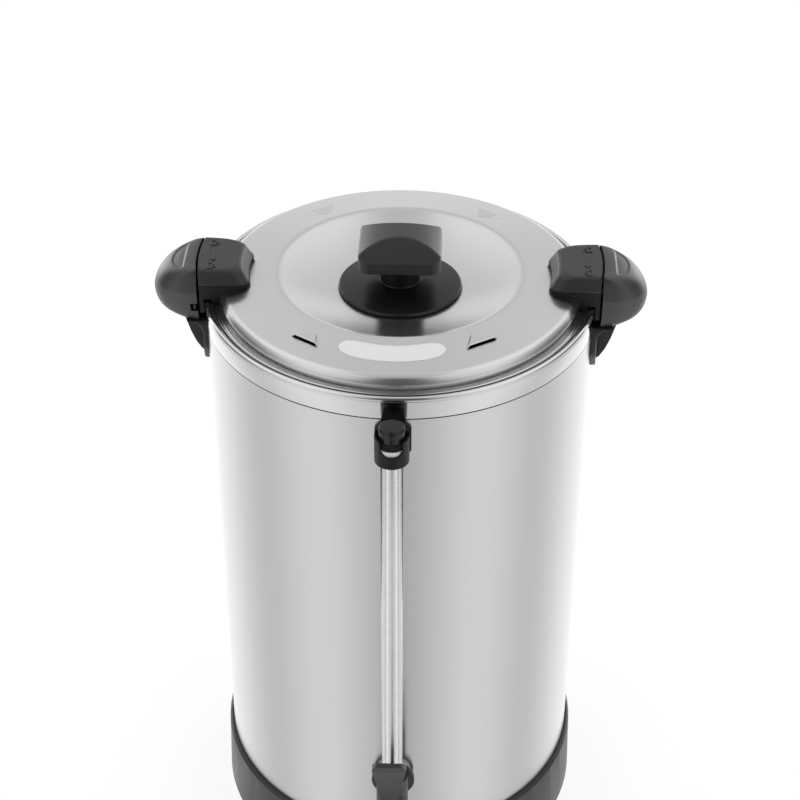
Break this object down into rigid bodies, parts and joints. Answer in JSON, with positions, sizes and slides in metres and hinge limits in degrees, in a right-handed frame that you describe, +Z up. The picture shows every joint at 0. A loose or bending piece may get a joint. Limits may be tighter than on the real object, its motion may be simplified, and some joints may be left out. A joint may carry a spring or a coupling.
{
  "type": "hot water urn",
  "caption": "Double-walled steel hot water urn with a dished twist-lock lid, black handles that meet lid ears, a glass level gauge and a self-closing tap on a plastic base.",
  "frame": {"origin": "middle of the bounding box on the plane the feet stand on; the vessel's axis is behind it at +Y", "axes": "+Z up along the vessel's axis, -Y towards the tap and the gauge, +X to the right of someone facing the tap"},
  "size_m": [0.3278, 0.3458, 0.4882],
  "materials": {
    "brushed_steel": "brushed, satin",
    "black_plastic": "moulded, satin",
    "plated_steel": "zinc plated",
    "black_silicone": "matt",
    "white_silicone": "matt, translucent white",
    "clear_glass": "clear, polished",
    "red_plastic": "gloss",
    "red_lens": "translucent red",
    "amber_lens": "translucent amber",
    "aluminium_sheet": "mill finish",
    "heater_alloy": "heat-tinted",
    "brass_parts": "bare",
    "cream_plastic": "moulded, heat resistant",
    "wire_insulation": "woven sleeve"
  },
  "bodies": {
    "urn_body": {"inner_tank": "brushed_steel", "outer_shell": "brushed_steel", "base_ring": "black_plastic", "control_panel": "black_plastic", "left_handle": "black_plastic", "right_handle": "black_plastic", "faucet_body": "black_plastic", "faucet_nut": "black_plastic", "faucet_bonnet": "black_plastic", "gauge_bracket": "black_plastic", "switch_housing": "black_plastic", "power_inlet": "black_plastic", "thermal_cutout": "black_plastic", "bottom_plate": "plated_steel", "base_screws": "plated_steel", "element_clamp": "plated_steel", "clamp_nuts": "plated_steel", "inlet_screws": "plated_steel", "left_backing_plate": "plated_steel", "right_backing_plate": "plated_steel", "handle_screws": "plated_steel", "faucet_spring": "plated_steel", "fulcrum_pin": "plated_steel", "bracket_screws": "plated_steel", "gauge_lower_seal": "black_silicone", "foot_front_left": "black_silicone", "foot_front_right": "black_silicone", "foot_rear_left": "black_silicone", "foot_rear_right": "black_silicone", "faucet_inner_seal": "white_silicone", "faucet_outer_seal": "white_silicone", "gauge_washer": "white_silicone", "gauge_tube": "clear_glass", "power_lamp": "red_lens", "ready_lamp": "amber_lens", "heat_plate": "aluminium_sheet", "heating_element": "heater_alloy", "inlet_pins": "brass_parts", "cutout_capillary": "brass_parts", "thermal_fuse": "brass_parts", "thermostat": "cream_plastic", "keep_warm_thermostat": "cream_plastic", "terminal_block": "cream_plastic", "wiring": "wire_insulation"},
    "lid_carrier": {"lid_seal": "black_silicone"},
    "lid": {"lid_pan": "brushed_steel", "left_ear": "black_plastic", "right_ear": "black_plastic", "ear_screws": "plated_steel", "knob_flange": "black_plastic", "knob_grip": "black_plastic", "knob_screw": "plated_steel"},
    "rocker": {"rocker_switch": "red_plastic"},
    "reset": {"reset_button": "red_plastic"},
    "lever": {"faucet_lever": "black_plastic"},
    "stem": {"faucet_stem": "plated_steel", "seat_cup": "white_silicone"},
    "cap": {"gauge_cap": "black_plastic"},
    "nut": {"gauge_nut": "black_plastic"}
  },
  "joints": [
    {"name": "lid_lift", "type": "slide", "parent": "urn_body", "child": "lid_carrier", "axis": [0, 0, 1], "range_m": [0, 0.15]},
    {"name": "lid_twist", "type": "hinge", "parent": "lid_carrier", "child": "lid", "pos_m": [0, 0.036, 0.445], "axis": [0, 0, 1], "range_deg": [0, 20]},
    {"name": "rocker", "type": "hinge", "parent": "urn_body", "child": "rocker", "pos_m": [0, -0.0994, 0.033], "axis": [1, 0, 0], "range_deg": [-18, 0]},
    {"name": "reset_button", "type": "slide", "parent": "urn_body", "child": "reset", "axis": [0, 0, 1], "range_m": [0, 0.0025], "stiffness_N_per_m": 400, "springref_m": -0.003},
    {"name": "faucet_lever", "type": "hinge", "parent": "urn_body", "child": "lever", "pos_m": [0, -0.159, 0.152], "axis": [1, 0, 0], "range_deg": [0, 25]},
    {"name": "faucet_stem", "type": "slide", "parent": "urn_body", "child": "stem", "axis": [0, 0, 1], "range_m": [0, 0.0038], "stiffness_N_per_m": 60, "springref_m": -0.012, "deforming": ["faucet_spring"]},
    {"name": "gauge_cap_lift", "type": "slide", "parent": "urn_body", "child": "cap", "axis": [0, 0, 1], "range_m": [0, 0.003]},
    {"name": "gauge_nut_turn", "type": "hinge", "parent": "cap", "child": "nut", "pos_m": [0, -0.114, 0.4255], "axis": [0, 0, 1], "range_deg": [0, 720]}
  ],
  "couplings": [
    {"joint": "faucet_lever", "follows": "faucet_stem", "rad_per_m": 114.72},
    {"joint": "gauge_nut_turn", "follows": "gauge_cap_lift", "rad_per_m": 4188.8}
  ]
}
